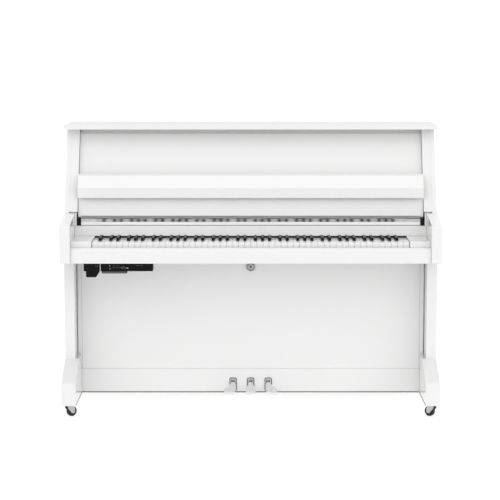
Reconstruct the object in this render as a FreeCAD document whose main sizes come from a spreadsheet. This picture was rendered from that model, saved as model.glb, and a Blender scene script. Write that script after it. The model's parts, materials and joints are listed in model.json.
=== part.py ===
import FreeCAD, Part
import math
import os

# Upright piano. Millimetres, +Z up, the player at -Y, origin on the floor under the middle of the piano.
# "Setback" is the distance behind the front plane of the arms, measured along +Y.

DRIVING = {
    "case_width": 1470,
    "case_depth": 590,
    "case_height": 1125,
    "lid_width": 1484,
    "lid_thick": 17,
    "lid_setback": 290,
    "board": 40,
    "upper_board": 18,
    "pilaster_width": 33,
    "panel_clearance": 1,
    "case_bottom": 51,
    "arm_bottom": 608,
    "arm_front_top": 752,
    "arm_rear_top": 783,
    "arm_rear": 205,
    "upper_rear": 350,
    "lid_gap": 1,
    "beam_top": 1098.5,
    "lower_setback": 160,
    "toe_width": 56,
    "toe_front_top": 137,
    "toe_rear_top": 208,
    "slip_setback": 10,
    "slip_top": 667,
    "slip_thick": 25,
    "bed_top": 645,
    "key_front": 45,
    "key_top": 686,
    "key_height": 22,
    "key_length": 385,
    "key_pitch": 23.6,
    "key_gap": 0.9,
    "sharp_front": 95,
    "sharp_length": 98,
    "sharp_rise": 12,
    "sharp_width": 11,
    "balance_setback": 262,
    "pivot_setback": 217,
    "pivot_height": 763,
    "fallboard_length": 168,
    "fallboard_thick": 16,
    "fallboard_lean": 12,
    "flap_width": 1365,
    "hinge_reach": 670,
    "lip_height": 41,
    "lip_thick": 12,
    "bevel_depth": 38,
    "bevel_height": 46,
    "panel_thick": 18,
    "panel_setback": 260,
    "rail_top": 148,
    "string_setback": 464,
    "board_setback": 498,
    "post_setback": 530,
    "pedal_spacing": 70.5,
    "pedal_pivot_setback": 330,
    "pedal_pivot_height": 98,
    "rod_setback": 442,
    "caster_radius": 20,
    "caster_middle": 703.5,
    "wheel_width": 18,
    "swivel_middle": 711,
    "swivel_setback": 50,
    "caster_trail": 12,
    "caster_turn": 50,
}

doc = FreeCAD.newDocument("upright_piano")
sheet = doc.addObject("Spreadsheet::Sheet", "Dimensions")
for row, (alias, value) in enumerate(DRIVING.items(), start=1):
    sheet.set(f"A{row}", alias)
    sheet.set(f"B{row}", str(value))
    sheet.setAlias(f"B{row}", alias)
doc.recompute()

ROLE = {"XY": "XY_Plane", "XZ": "XZ_Plane", "YZ": "YZ_Plane"}
pieces = []


def size(alias):
    """Value of a driving dimension."""
    return float(sheet.get(alias))


FRONT = -size("case_depth") / 2
HALF = size("case_width") / 2
REAR = size("case_depth") / 2
TOP = size("case_height") - size("lid_thick")


def y_of(setback):
    """Y of a plane that lies this far behind the front of the arms."""
    return FRONT + setback


def register(thing, name):
    thing.Label = name
    pieces.append(thing)
    return thing


def trace(points):
    """Closed outline as edges. A point with a third value has its corner rounded to that radius."""
    flat = [FreeCAD.Vector(p[0], p[1], 0) for p in points]
    radii = [p[2] if len(p) > 2 else 0 for p in points]
    starts, ends, arcs = [], [], []
    count = len(flat)
    for i in range(count):
        here, before, after = flat[i], flat[i - 1], flat[(i + 1) % count]
        into = (before - here).normalize()
        out = (after - here).normalize()
        if radii[i] == 0:
            starts.append(here)
            ends.append(here)
            arcs.append(None)
            continue
        half = into.getAngle(out) / 2
        reach = radii[i] / math.tan(half)
        middle = (into + out).normalize() * (radii[i] / math.sin(half) - radii[i])
        starts.append(here + into * reach)
        ends.append(here + out * reach)
        arcs.append(Part.Arc(starts[-1], here + middle, ends[-1]))
    edges = []
    for i in range(count):
        if arcs[i]:
            edges.append(arcs[i])
        following = starts[(i + 1) % count]
        if (following - ends[i]).Length > 1e-6:
            edges.append(Part.LineSegment(ends[i], following))
    return edges


def plane_of(body, plane):
    for feature in body.Origin.OriginFeatures:
        if feature.Role == ROLE[plane]:
            return feature
    raise RuntimeError(plane)


def add_sketch(body, name, plane, outlines, offset):
    sketch = body.newObject("Sketcher::SketchObject", name)
    sketch.AttachmentSupport = [(plane_of(body, plane), "")]
    sketch.MapMode = "FlatFace"
    sketch.AttachmentOffset = FreeCAD.Placement(FreeCAD.Vector(0, 0, offset), FreeCAD.Rotation())
    for points in outlines:
        if len(points) == 1:
            x, y, radius = points[0]
            sketch.addGeometry(Part.Circle(FreeCAD.Vector(x, y, 0), FreeCAD.Vector(0, 0, 1), radius))
        else:
            for edge in trace(points):
                sketch.addGeometry(edge)
    return sketch


def add_pad(body, name, plane, outlines, offset, length):
    """Pad from the offset along the plane's normal (+Z, -Y or +X); length is a number or an expression."""
    sketch = add_sketch(body, name + "_sketch", plane, outlines, offset)
    pad = body.newObject("PartDesign::Pad", name)
    pad.Profile = sketch
    if isinstance(length, str):
        pad.setExpression("Length", length)
    else:
        pad.Length = length
    return pad


def new_body(name):
    return register(doc.addObject("PartDesign::Body", name + "_body"), name)


def padded(name, plane, outlines, offset, length):
    body = new_body(name)
    add_pad(body, name + "_pad", plane, outlines, offset, length)
    return body


def crosswise(name, outline, width, middle=0.0):
    """Piece with a constant side outline in Y and Z, centred on X = middle."""
    reach = width if isinstance(width, float) else float(size(width))
    length = width if isinstance(width, float) else "Dimensions." + width
    return padded(name, "YZ", [outline], middle - reach / 2, length)


def board(name, corner, spans):
    """Plain board: corner is its low corner, spans are numbers or sheet expressions."""
    box = doc.addObject("Part::Box", name + "_board")
    for prop, span in zip(("Length", "Width", "Height"), spans):
        if isinstance(span, str):
            box.setExpression(prop, span)
        else:
            setattr(box, prop, span)
    box.Placement = FreeCAD.Placement(FreeCAD.Vector(*corner), FreeCAD.Rotation())
    return register(box, name)


def block(x0, y0, z0, x1, y1, z1):
    return Part.makeBox(x1 - x0, y1 - y0, z1 - z0, FreeCAD.Vector(x0, y0, z0))


def rod(start, end, radius):
    axis = FreeCAD.Vector(*end) - FreeCAD.Vector(*start)
    return Part.makeCylinder(radius, axis.Length, FreeCAD.Vector(*start), axis)


def side_prism(outline, x0, x1):
    """Solid with a side outline in Y and Z between two X planes."""
    rim = [FreeCAD.Vector(x0, p[0], p[1]) for p in outline]
    face = Part.Face(Part.makePolygon(rim + [rim[0]]))
    return face.extrude(FreeCAD.Vector(x1 - x0, 0, 0))


def rounded_prism(outline, x0, x1):
    """Like side_prism, for an outline with rounded corners."""
    wire = Part.Wire([edge.toShape() for edge in trace(outline)])
    upright = FreeCAD.Placement(
        FreeCAD.Vector(x0, 0, 0), FreeCAD.Rotation(FreeCAD.Vector(1, 1, 1), 120)
    )
    face = Part.Face(wire)
    face.Placement = upright
    return face.extrude(FreeCAD.Vector(x1 - x0, 0, 0))


def grouped(name, shapes):
    """Alike separate solids that are handled as one piece."""
    feature = doc.addObject("Part::Feature", name + "_group")
    feature.Shape = shapes[0] if len(shapes) == 1 else Part.makeCompound(shapes)
    feature.Placement = FreeCAD.Placement()
    return register(feature, name)


def side_pair_piece(outline, side, inner, outer):
    """One of two alike pieces: side -1 is the left one, between two distances from the middle."""
    if side < 0:
        return rounded_prism(outline, -outer, -inner)
    return rounded_prism(outline, inner, outer)


def between_pilasters():
    """Distance from the middle to the inner face of a pilaster."""
    return HALF - size("upper_board") - size("pilaster_width")


# ---------------------------------------------------------------- outer case

def slant(height):
    """Setback of the slanted front edge of the upper sides at a height."""
    rise = (height - size("arm_rear_top")) / (TOP - size("arm_rear_top"))
    return size("arm_rear") + rise * (size("upper_rear") - size("arm_rear"))


def side_panels():
    """Each side is a thick board with the arm, and a thinner upper board flush with its outside."""
    bottom = size("case_bottom")
    step = size("arm_rear_top")
    lower = [
        (REAR, bottom),
        (REAR, step),
        (y_of(size("arm_rear")), step),
        (y_of(0), size("arm_front_top"), 14),
        (y_of(0), size("arm_bottom"), 4),
        (y_of(size("lower_setback")), size("arm_bottom")),
        (y_of(size("lower_setback")), bottom),
    ]
    upper = [
        (REAR, step - 1),
        (REAR, TOP - size("lid_gap")),
        (y_of(size("upper_rear")), TOP - size("lid_gap")),
        (y_of(size("arm_rear")), step),
        (y_of(size("arm_rear")), step - 1),
    ]
    for side, lower_x, upper_x in (
        ("left", -HALF, -HALF),
        ("right", HALF - size("board"), HALF - size("upper_board")),
    ):
        body = new_body("side_panel_" + side)
        add_pad(body, f"side_{side}_lower", "YZ", [lower], lower_x, "Dimensions.board")
        add_pad(body, f"side_{side}_upper", "YZ", [upper], upper_x, "Dimensions.upper_board")


def pilasters():
    """Cheek strips inside the slanted edges, and a small cheek under each across a shadow gap."""
    gap = 5
    foot = size("arm_rear_top") + gap
    deep = 62
    inner = between_pilasters()
    strip = [
        (y_of(slant(foot) + 1), foot),
        (y_of(slant(TOP) + 1), TOP - 1),
        (y_of(slant(TOP) + deep), TOP - 1),
        (y_of(slant(foot) + deep), foot),
    ]
    sole = size("arm_rear_top") - 1
    cheek = [
        (y_of(203), 733.5),
        (y_of(203), sole, 3),
        (y_of(250), sole),
        (y_of(250), 759.6),
        (y_of(216.4), 759.6),
        (y_of(216.4), 733.5),
    ]
    made = []
    for side in (-1, 1):
        made.append(side_pair_piece(strip, side, inner, inner + size("pilaster_width")))
        made.append(side_pair_piece(cheek, side, inner + 3.2, inner_half() - 0.3))
    return made


def toe_blocks():
    """Forward feet of the sides; their tops climb back, and a return closes them to the rail."""
    bottom = size("case_bottom")
    inner = HALF - size("toe_width")
    outline = [
        (y_of(0), bottom),
        (y_of(0), size("toe_front_top"), 10),
        (y_of(size("lower_setback")), size("toe_rear_top")),
        (y_of(size("lower_setback")), bottom),
    ]
    front = y_of(size("lower_setback"))
    rear = y_of(size("panel_setback")) - 0.5
    made = []
    for side in (-1, 1):
        foot = side_pair_piece(outline, side, inner, HALF)
        near, far = sorted((side * inner, side * (inner_half() - 0.3)))
        strip = block(near, front, bottom, far, rear, size("toe_rear_top"))
        made.append(foot.fuse(strip).removeSplitter())
    return made


def inner_half():
    return HALF - size("board")


def key_bed():
    """Board under the keyboard, with three holes that the pedal rods pass through."""
    reach = inner_half()
    front = y_of(size("slip_setback") + size("slip_thick"))
    rear = y_of(456)
    plan = [(-reach, front), (reach, front), (reach, rear), (-reach, rear)]
    hole_y = y_of(size("rod_setback"))
    holes = [[(place * size("pedal_spacing"), hole_y, 7)] for place in (-1, 0, 1)]
    thick = size("bed_top") - size("arm_bottom")
    padded("key_bed", "XY", [plan] + holes, size("arm_bottom"), thick)


def key_slip():
    """Long rail in front of the keys, with a rounded upper edge."""
    front = y_of(size("slip_setback"))
    rear = front + size("slip_thick")
    outline = [
        (front, size("arm_bottom")),
        (front, 658, 10),
        (front + 14, size("slip_top"), 8),
        (rear, size("slip_top")),
        (rear, size("arm_bottom")),
    ]
    crosswise("key_slip", outline, 2 * inner_half() - 1.0)


def panel_battens():
    """Upright strips inside the sides that close the joint beside the lower panel."""
    front = y_of(size("panel_setback"))
    made = []
    for side in (-1, 1):
        x0 = side * 686.5 - 8
        made.append(block(x0, front, 149, x0 + 16, front + 26, 607))
    return made


def key_blocks():
    """Polished cheeks between the keys and the arms, running back under the nameboard."""
    outline = [
        (y_of(36), size("bed_top")),
        (y_of(36), 690, 6),
        (y_of(188), 690, 2),
        (y_of(190), 693.4),
        (y_of(234), 693.4),
        (y_of(234), size("bed_top")),
    ]
    inner = 26 * size("key_pitch") + 1.5
    return [side_pair_piece(outline, side, inner, inner_half() - 0.5) for side in (-1, 1)]


def nameboard():
    """Leaning strip behind the keys that carries the long hinge."""
    outline = [
        (y_of(194.5), 694),
        (y_of(207), 733),
        (y_of(217.6), 733),
        (y_of(217.6), 759),
        (y_of(235), 759),
        (y_of(235), 694),
    ]
    crosswise("nameboard", outline, 2 * inner_half() - 1.0)
    strip = [(y_of(196), 688.6), (y_of(196), 694), (y_of(212), 694), (y_of(212), 688.6)]
    crosswise("nameboard_felt", strip, 52 * size("key_pitch"))


def bottom_rail():
    """Rail across the foot of the case, cut through where the pedals pass."""
    body = new_body("bottom_rail")
    reach = HALF - size("toe_width") - 0.5
    front = y_of(size("panel_setback"))
    rear = front + size("panel_thick")
    base = size("case_bottom")
    plate = [(-reach, base), (reach, base), (reach, size("rail_top")), (-reach, size("rail_top"))]
    slots = []
    for place in (-1, 0, 1):
        low = place * size("pedal_spacing") - 10
        slots.append([(low, 84), (low + 20, 84), (low + 20, 107), (low, 107)])
    add_pad(body, "bottom_rail_pad", "XZ", [plate] + slots, -rear, "Dimensions.panel_thick")


def bottom_board():
    """Floor of the case: carries the pedals."""
    front = y_of(size("panel_setback") + size("panel_thick"))
    rear = y_of(450)
    board(
        "bottom_board",
        (-inner_half(), front, size("case_bottom")),
        (2 * inner_half(), rear - front, 18),
    )


def lid():
    """Top board, overhanging at the front and both ends."""
    reach = size("lid_width") / 2
    plan = [
        (-reach, y_of(size("lid_setback")), 9),
        (reach, y_of(size("lid_setback")), 9),
        (reach, REAR - 12, 3),
        (-reach, REAR - 12, 3),
    ]
    padded("lid", "XY", [plan], TOP, "Dimensions.lid_thick")


# ------------------------------------------------------------ front panels and fallboard

def upper_front_panel():
    """Leaning board between the pilasters, with a rebated top edge in the shadow of the lid."""
    recess = 20
    rebate = 9
    thick = size("panel_thick") + 2
    low = 882
    high = 1088
    crown = TOP - 2
    outline = [
        (y_of(slant(low) + recess), low),
        (y_of(slant(high) + recess), high),
        (y_of(slant(high) + recess + rebate), high),
        (y_of(slant(crown) + recess + rebate), crown),
        (y_of(slant(crown) + recess + thick), crown),
        (y_of(slant(low) + recess + thick), low),
    ]
    crosswise("upper_front_panel", outline, 2 * (between_pilasters() - size("panel_clearance")))


def lean_point(along, deep):
    """Point on the open fallboard: distance along it from its pivot, and behind its inner face."""
    lean = math.radians(size("fallboard_lean"))
    y = y_of(size("pivot_setback")) + along * math.sin(lean) + deep * math.cos(lean)
    z = size("pivot_height") + along * math.cos(lean) - deep * math.sin(lean)
    return (y, z)


def fallboard():
    """Leaf that covers the keys, standing open, with a rounded free edge."""
    long = size("fallboard_length")
    thick = size("fallboard_thick")
    outline = [
        lean_point(5, 1),
        lean_point(long + 8, 1) + (7,),
        lean_point(long + 8, thick + 1) + (7,),
        lean_point(5, thick + 1) + (3,),
    ]
    crosswise("fallboard", outline, "flap_width")


def fold_axis():
    """Pivot of the folding lip, just inside the free edge of the fallboard."""
    return lean_point(size("fallboard_length"), -2.5)


def fallboard_lip():
    """Folding nose of the fallboard: a bevel and an upright lip, folded forward while open."""
    y, z = fold_axis()
    crest_y = y - size("bevel_depth")
    crest_z = z - size("bevel_height")
    thick = size("lip_thick")
    outline = [
        (y - 3.5, z + 1),
        (crest_y, crest_z, 4),
        (crest_y, crest_z - size("lip_height"), 3),
        (crest_y + thick, crest_z - size("lip_height"), 3),
        (crest_y + thick, crest_z - 6),
        (y - 3.5, z - 13),
    ]
    crosswise("fallboard_lip", outline, "flap_width")


def hinge_tubes(axis, reach, sections, outer, bore, first):
    """Every second knuckle of a hinge along X, starting with the first or the second."""
    pitch = 2 * reach / sections
    tubes = []
    for i in range(first, sections, 2):
        start = (-reach + i * pitch + 0.2, *axis)
        end = (-reach + (i + 1) * pitch - 0.2, *axis)
        tubes.append(rod(start, end, outer).cut(rod(start, end, bore)))
    return tubes


def tabs(outline, reach, sections, first):
    """Tongues that join a leaf to its own knuckles."""
    pitch = 2 * reach / sections
    made = []
    for i in range(first, sections, 2):
        x0 = -reach + i * pitch + 0.2
        made.append(side_prism(outline, x0, x0 + pitch - 0.4))
    return made


def fuse_all(first, others):
    return first.multiFuse(others).removeSplitter()


HINGE_SECTIONS = 24
KNUCKLE = 3.2
BORE = 1.56
PIN = 1.5


def long_hinge():
    """Polished continuous hinge: a leaf on the nameboard with the pin, and a leaf on the fallboard."""
    axis = (y_of(size("pivot_setback")), size("pivot_height"))
    reach = size("hinge_reach")
    leaf = 1.4
    sheet_top = axis[1] - KNUCKLE - 0.4
    sheet_foot = 734.5
    fold = 747
    cant = 4.6
    plate = side_prism(
        [
            (axis[0] - leaf - cant, sheet_top),
            (axis[0], sheet_top),
            (axis[0], sheet_foot),
            (axis[0] - leaf, sheet_foot),
            (axis[0] - leaf, fold),
        ],
        -reach,
        reach,
    )
    lug = [
        (axis[0] - leaf, axis[1] - KNUCKLE - 1),
        (axis[0], axis[1] - KNUCKLE - 1),
        (axis[0], axis[1] - 2.2),
        (axis[0] - leaf, axis[1] - 2.2),
    ]
    fixed_tubes = hinge_tubes(axis, reach, HINGE_SECTIONS, KNUCKLE, BORE, 0)
    fixed = fuse_all(plate, tabs(lug, reach, HINGE_SECTIONS, 0) + fixed_tubes)
    pin = rod((-reach, *axis), (reach, *axis), PIN)
    grouped("long_hinge_leaf", [fixed, pin])
    strip = [lean_point(3.8, 0), lean_point(8.5, 0), lean_point(8.5, 1), lean_point(3.8, 1)]
    tongue = [lean_point(2.2, 0), lean_point(4.5, 0), lean_point(4.5, 1), lean_point(2.2, 1)]
    moving_tubes = hinge_tubes(axis, reach, HINGE_SECTIONS, KNUCKLE, BORE, 1)
    moving = fuse_all(
        side_prism(strip, -reach, reach), tabs(tongue, reach, HINGE_SECTIONS, 1) + moving_tubes
    )
    grouped("long_hinge_flap", [moving])


def lip_hinge():
    """Slim continuous hinge between the fallboard and its lip, on their inner faces."""
    axis = fold_axis()
    reach = size("flap_width") / 2 - 6
    long = size("fallboard_length")
    strip = [
        lean_point(long - 16, 0),
        lean_point(long - 3, 0),
        lean_point(long - 3, 1),
        lean_point(long - 16, 1),
    ]
    tongue = [
        lean_point(long - 4, -1),
        lean_point(long - 2, -1),
        lean_point(long - 2, 1),
        lean_point(long - 4, 1),
    ]
    fixed_tubes = hinge_tubes(axis, reach, HINGE_SECTIONS, 2.3, 1.06, 0)
    fixed = fuse_all(
        side_prism(strip, -reach, reach), tabs(tongue, reach, HINGE_SECTIONS, 0) + fixed_tubes
    )
    pin = rod((-reach, *axis), (reach, *axis), 1.0)
    grouped("lip_hinge_leaf", [fixed, pin])
    y, z = axis
    plate = [(y - 3.5, z - 12), (y - 2.6, z - 12), (y - 2.6, z), (y - 3.5, z)]
    tongue = [(y - 3, z - 1), (y - 1.6, z - 1), (y - 1.6, z + 0.2), (y - 3, z + 0.2)]
    moving_tubes = hinge_tubes(axis, reach, HINGE_SECTIONS, 2.3, 1.06, 1)
    moving = fuse_all(
        side_prism(plate, -reach, reach), tabs(tongue, reach, HINGE_SECTIONS, 1) + moving_tubes
    )
    grouped("lip_hinge_flap", [moving])


def fallboard_back_rail():
    """Fixed board behind the open fallboard, up to the foot of the upper panel."""
    outline = [
        (y_of(236), 745),
        (y_of(236), 762),
        lean_point(4, 18.5),
        lean_point(114, 18.5),
        lean_point(114, 28.5),
        (y_of(248), 745),
    ]
    crosswise("fallboard_back_rail", outline, 2 * between_pilasters() - 2)


def fallboard_buffers():
    """Soft buffers at both ends of the long hinge."""
    made = []
    for side in (-1, 1):
        x0 = side * 679 - 7.5
        lump = block(x0, y_of(203), 733.3, x0 + 15, y_of(216.4), 762.6)
        edges = [e for e in lump.Edges if abs(e.CenterOfMass.y - y_of(203)) < 1]
        made.append(lump.makeFillet(3.5, edges))
    grouped("fallboard_buffers", made)


def lid_hinges():
    """Three butt hinges along the rear edge of the lid."""
    axis_y, axis_z = REAR - 6, TOP - 4.5
    near, edge, root = REAR - 40, axis_y - 4.5, axis_y - 1.7
    low = size("beam_top")
    knuckle = 3.6
    leaves, flaps = [], []
    for middle in (-500, 0, 500):
        x0, x1 = middle - 35, middle + 35
        leaf = block(x0, near, low, x1, edge, low + 1.6)
        flap = block(x0, near, TOP - 1.8, x1, edge, TOP - 0.2)
        third = (x1 - x0) / 3
        for i in range(3):
            a, b = x0 + i * third + 0.2, x0 + (i + 1) * third - 0.2
            tube = rod((a, axis_y, axis_z), (b, axis_y, axis_z), knuckle)
            tube = tube.cut(rod((a, axis_y, axis_z), (b, axis_y, axis_z), BORE))
            if i == 1:
                flap = fuse_all(flap, [block(a, edge - 1, axis_z + 1.9, b, root, TOP - 0.2), tube])
            else:
                leaf = fuse_all(leaf, [block(a, edge - 1, low, b, root, axis_z - 1.9), tube])
        leaves += [leaf, rod((x0, axis_y, axis_z), (x1, axis_y, axis_z), PIN)]
        flaps.append(flap)
    grouped("lid_hinge_leaves", leaves)
    grouped("lid_hinge_flaps", flaps)


def lower_front_panel():
    """Removable board that closes the lower case."""
    front = y_of(size("panel_setback"))
    reach = 676
    plate = [(-reach, 149.5), (reach, 149.5), (reach, 603), (-reach, 603)]
    hole = [(0, 562, 6.08)]
    rear = front + size("panel_thick")
    padded("lower_front_panel", "XZ", [plate, hole], -rear, "Dimensions.panel_thick")


def panel_lock():
    """Round knob on a spindle, with the latch tongue behind the panel."""
    front = y_of(size("panel_setback"))
    profile = [
        FreeCAD.Vector(0, front - 9, 562),
        FreeCAD.Vector(14, front - 9, 562),
        FreeCAD.Vector(18, front - 5, 562),
        FreeCAD.Vector(18, front - 0.4, 562),
        FreeCAD.Vector(6, front - 0.4, 562),
        FreeCAD.Vector(6, front + 22, 562),
        FreeCAD.Vector(0, front + 22, 562),
    ]
    face = Part.Face(Part.makePolygon(profile + [profile[0]]))
    knob = face.revolve(FreeCAD.Vector(0, 0, 562), FreeCAD.Vector(0, 1, 0), 360)
    tongue = block(-7, front + 19, 556, 7, front + 22, 600)
    grouped("panel_lock", [knob.fuse(tongue).removeSplitter()])


# ---------------------------------------------------------------------- keyboard

KEYS = 88
SHARPS = (1, 4, 6, 9, 11)
MIDDLE_C = 39


def is_sharp(n):
    """Key 0 is the lowest A."""
    return n % 12 in SHARPS


def lane(n):
    """Middle of the equal lane that a key's tail, hammer and damper share."""
    octave = 7 * size("key_pitch")
    left_c = -24 * size("key_pitch")
    return left_c + (n - 2.5) * octave / 12


def naturals_before(n):
    return sum(1 for k in range(n) if not is_sharp(k))


def capstan(n):
    """Low screw head near the rear of a key that works the wippen."""
    foot = FreeCAD.Vector(lane(n), y_of(398), size("key_top") - 1)
    return Part.makeCylinder(3.5, 4, foot)


def white_key(n):
    """Natural key with its tail cut in beside the sharps."""
    pitch, gap = size("key_pitch"), size("key_gap")
    left = (naturals_before(n) - 26) * pitch + gap / 2
    right = left + pitch - gap
    half_tail = size("sharp_width") / 2 + 1.1
    front, step = y_of(size("key_front")), y_of(size("sharp_front") - 1.5)
    rear = y_of(size("key_front") + size("key_length"))
    tail_left, tail_right = left, right
    if n > 0 and is_sharp(n - 1):
        tail_left = lane(n - 1) + half_tail
    if n < KEYS - 1 and is_sharp(n + 1):
        tail_right = lane(n + 1) - half_tail
    low = size("key_top") - size("key_height")
    head = block(left, front, low, right, step, size("key_top"))
    tail = block(tail_left, step, low, tail_right, rear, size("key_top"))
    return fuse_all(head, [tail, capstan(n)])


def black_key(n):
    """Sharp key: a wooden body with a tapered cap."""
    x = lane(n)
    half = size("sharp_width") / 2
    top = size("key_top")
    low = top - size("key_height")
    front = y_of(size("sharp_front"))
    rear = y_of(size("key_front") + size("key_length"))
    body = block(x - half, front, low, x + half, rear, top)
    crown = top + size("sharp_rise")
    side = [
        (front, top - 1),
        (front + 5, crown),
        (front + size("sharp_length"), crown),
        (front + size("sharp_length"), top - 1),
    ]
    cap = side_prism(side, x - half + 0.6, x + half - 0.6)
    return fuse_all(body, [cap, capstan(n)])


def keyboard():
    """All keys: the naturals, the sharps, and middle C as a key of its own."""
    whites = [white_key(n) for n in range(KEYS) if not is_sharp(n) and n != MIDDLE_C]
    blacks = [black_key(n) for n in range(KEYS) if is_sharp(n)]
    grouped("white_keys", whites)
    grouped("black_keys", blacks)
    grouped("middle_c_key", [white_key(MIDDLE_C)])
    reach = 26 * size("key_pitch")
    rails = []
    for near, far, top in ((52, 88, 652), (246, 278, 663), (386, 426, 663)):
        rails.append(block(-reach, y_of(near), size("bed_top"), reach, y_of(far), top))
    grouped("key_frame", rails)


# ------------------------------------------------------------------------ action

def tilted(outline, pivot, degrees):
    """Side outline turned about a pivot; a positive turn leans its top to the front."""
    turn = math.radians(degrees)
    made = []
    for y, z in outline:
        dy, dz = y - pivot[0], z - pivot[1]
        made.append(
            (
                pivot[0] + dy * math.cos(turn) - dz * math.sin(turn),
                pivot[1] + dy * math.sin(turn) + dz * math.cos(turn),
            )
        )
    return made


def at_setbacks(outline):
    return [(y_of(s), z) for s, z in outline]


WIPPEN = [
    (352, 744), (392, 744), (392, 690.5), (404, 690.5), (404, 744), (436, 744),
    (436, 756), (397, 756), (397, 826), (389, 826), (389, 756), (352, 756),
]
HAMMER = [
    (395, 850), (411, 850), (411, 868), (405.5, 873), (405.5, 975), (440, 974),
    (461.3, 985), (440, 996), (388, 993), (388, 979), (400.5, 976), (400.5, 873), (395, 868),
]
DAMPER = [(421, 790), (428, 790), (428, 906), (462.3, 904), (462.3, 932), (436, 932), (421, 915)]
HAMMER_PIVOT = (403, 860)
HAMMER_REST = 20


def action():
    """Wippens with their jacks, hammers and dampers: one of each to a key."""
    reach = 4.75
    rest = at_setbacks(tilted(HAMMER, HAMMER_PIVOT, HAMMER_REST))
    others = [n for n in range(KEYS) if n != MIDDLE_C]
    naturals = [n for n in others if not is_sharp(n)]
    sharps = [n for n in others if is_sharp(n)]
    for name, outline, notes in (
        ("wippens", at_setbacks(WIPPEN), naturals),
        ("sharp_wippens", at_setbacks(WIPPEN), sharps),
        ("middle_c_wippen", at_setbacks(WIPPEN), [MIDDLE_C]),
        ("hammers", rest, naturals),
        ("sharp_hammers", rest, sharps),
        ("middle_c_hammer", rest, [MIDDLE_C]),
        ("dampers", at_setbacks(DAMPER), others),
        ("middle_c_damper", at_setbacks(DAMPER), [MIDDLE_C]),
    ):
        grouped(name, [side_prism(outline, lane(n) - reach, lane(n) + reach) for n in notes])


def action_frame():
    """End brackets and the rails that the action hangs on."""
    bracket = at_setbacks([
        (386, 645.5), (426, 645.5), (452, 744), (452, 800), (424, 850), (440, 1000),
        (425, 1000), (400, 884), (372, 941), (350, 941), (350, 924), (396, 838), (402, 744),
    ])
    rails = []
    for near, low, far, high in ((438, 748, 452, 770), (408, 838, 416, 847), (352, 925, 369, 940)):
        rails.append(block(-622, y_of(near), low, 622, y_of(far), high))
    ends = [side_prism(bracket, -628, -619), side_prism(bracket, 619, 628)]
    grouped("action_frame", [fuse_all(rails[0], rails[1:] + ends)])


# --------------------------------------------------------------- strung back

def back():
    """Posts, beams and the laminated pin block that carry the pull of the strings."""
    posts = []
    for i in range(5):
        x = -640 + i * 320
        posts.append(block(x - 35, y_of(size("post_setback")), 140, x + 35, REAR - 1, 1010))
    top_beam = block(-694, y_of(size("post_setback")), 1010, 694, REAR - 1, size("beam_top"))
    low_beam = block(-694, y_of(508), 52, 694, REAR - 1, 140)
    pin_block = block(-680, y_of(486.5), 985, 680, y_of(529.5), 1094)
    grouped("back_frame", posts + [top_beam, low_beam, pin_block])


def soundboard():
    """Thin spruce board with diagonal ribs on its back."""
    front = y_of(size("board_setback"))
    skin = block(-690, front, 142, 690, front + 8, 984)
    field = block(-680, front + 8, 150, 680, front + 29, 976)
    ribs = []
    for i in range(11):
        x = -900 + i * 180
        bar = block(-9, front + 8, -900, 9, front + 29, 900)
        bar.rotate(FreeCAD.Vector(0, 0, 0), FreeCAD.Vector(0, 1, 0), -40)
        bar.translate(FreeCAD.Vector(x, 0, 560))
        ribs += bar.common(field).Solids
    grouped("soundboard", [skin] + ribs)


WINDOWS = ((-650, -350), (-310, -20), (20, 310), (350, 650))


def iron_frame():
    """Cast plate with four windows between its struts."""
    plate = [(-685, 146), (685, 146), (685, 1094), (-685, 1094)]
    openings = [[(a, 330, 30), (b, 330, 30), (b, 930, 30), (a, 930, 30)] for a, b in WINDOWS]
    padded("iron_frame", "XZ", [plate] + openings, -y_of(486), 12.0)


def bridges():
    """Long bridge and bass bridge, in pieces that stand in the plate's windows."""
    front, rear = y_of(467), y_of(size("board_setback"))
    line = [(-330, 360), (-40, 430), (300, 600), (620, 840)]
    made = []
    for (x0, z0), (x1, z1) in zip(line, line[1:]):
        rim = [
            FreeCAD.Vector(x0, front, z0),
            FreeCAD.Vector(x1, front, z1),
            FreeCAD.Vector(x1, front, z1 + 30),
            FreeCAD.Vector(x0, front, z0 + 30),
        ]
        bar = Part.Face(Part.makePolygon(rim + [rim[0]])).extrude(FreeCAD.Vector(0, rear - front, 0))
        for a, b in WINDOWS:
            window = block(a + 2, front, 340, b - 2, rear, 920)
            made += bar.common(window).Solids
    grouped("bridges", made)


def strings_of(n):
    """Lowest notes have one string, the next have two and the rest three."""
    if n < 8:
        return 1
    return 2 if n < BASS_NOTES else 3


BASS_NOTES = 20


def bass_string(x, top, radius, low):
    """Overspun string: straight past the hammers, then forward and across over the long strings."""
    bends = [
        (x, y_of(464.5), top),
        (x, y_of(464.5), 880),
        (x + 6, y_of(457.5), 800),
        (x + 380, y_of(457.5), low),
    ]
    lengths = [rod(start, end, radius) for start, end in zip(bends, bends[1:])]
    knots = [Part.makeSphere(radius, FreeCAD.Vector(*bend)) for bend in bends[1:-1]]
    return fuse_all(lengths[0], lengths[1:] + knots)


def stringing():
    """Strings from the hitch pins up to their tuning pins."""
    strings, pins = [], []
    for n in range(KEYS):
        count = strings_of(n)
        for i in range(count):
            x = lane(n) + (i - (count - 1) / 2) * 3.6
            pin_z = 1010 + 26 * i
            pins.append(rod((x, y_of(438), pin_z), (x, y_of(520), pin_z), 1.7))
            if n < BASS_NOTES:
                strings.append(bass_string(x, pin_z - 3, 1.5 - 0.03 * n, 215 + 3 * n))
            else:
                low = 200 + 640 * ((n - BASS_NOTES) / (KEYS - BASS_NOTES)) ** 1.15
                strings.append(rod((x, y_of(464), low), (x, y_of(464), pin_z - 3), 0.6))
    grouped("strings", strings)
    grouped("tuning_pins", pins)


# --------------------------------------------------------------- pedals and casters

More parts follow.
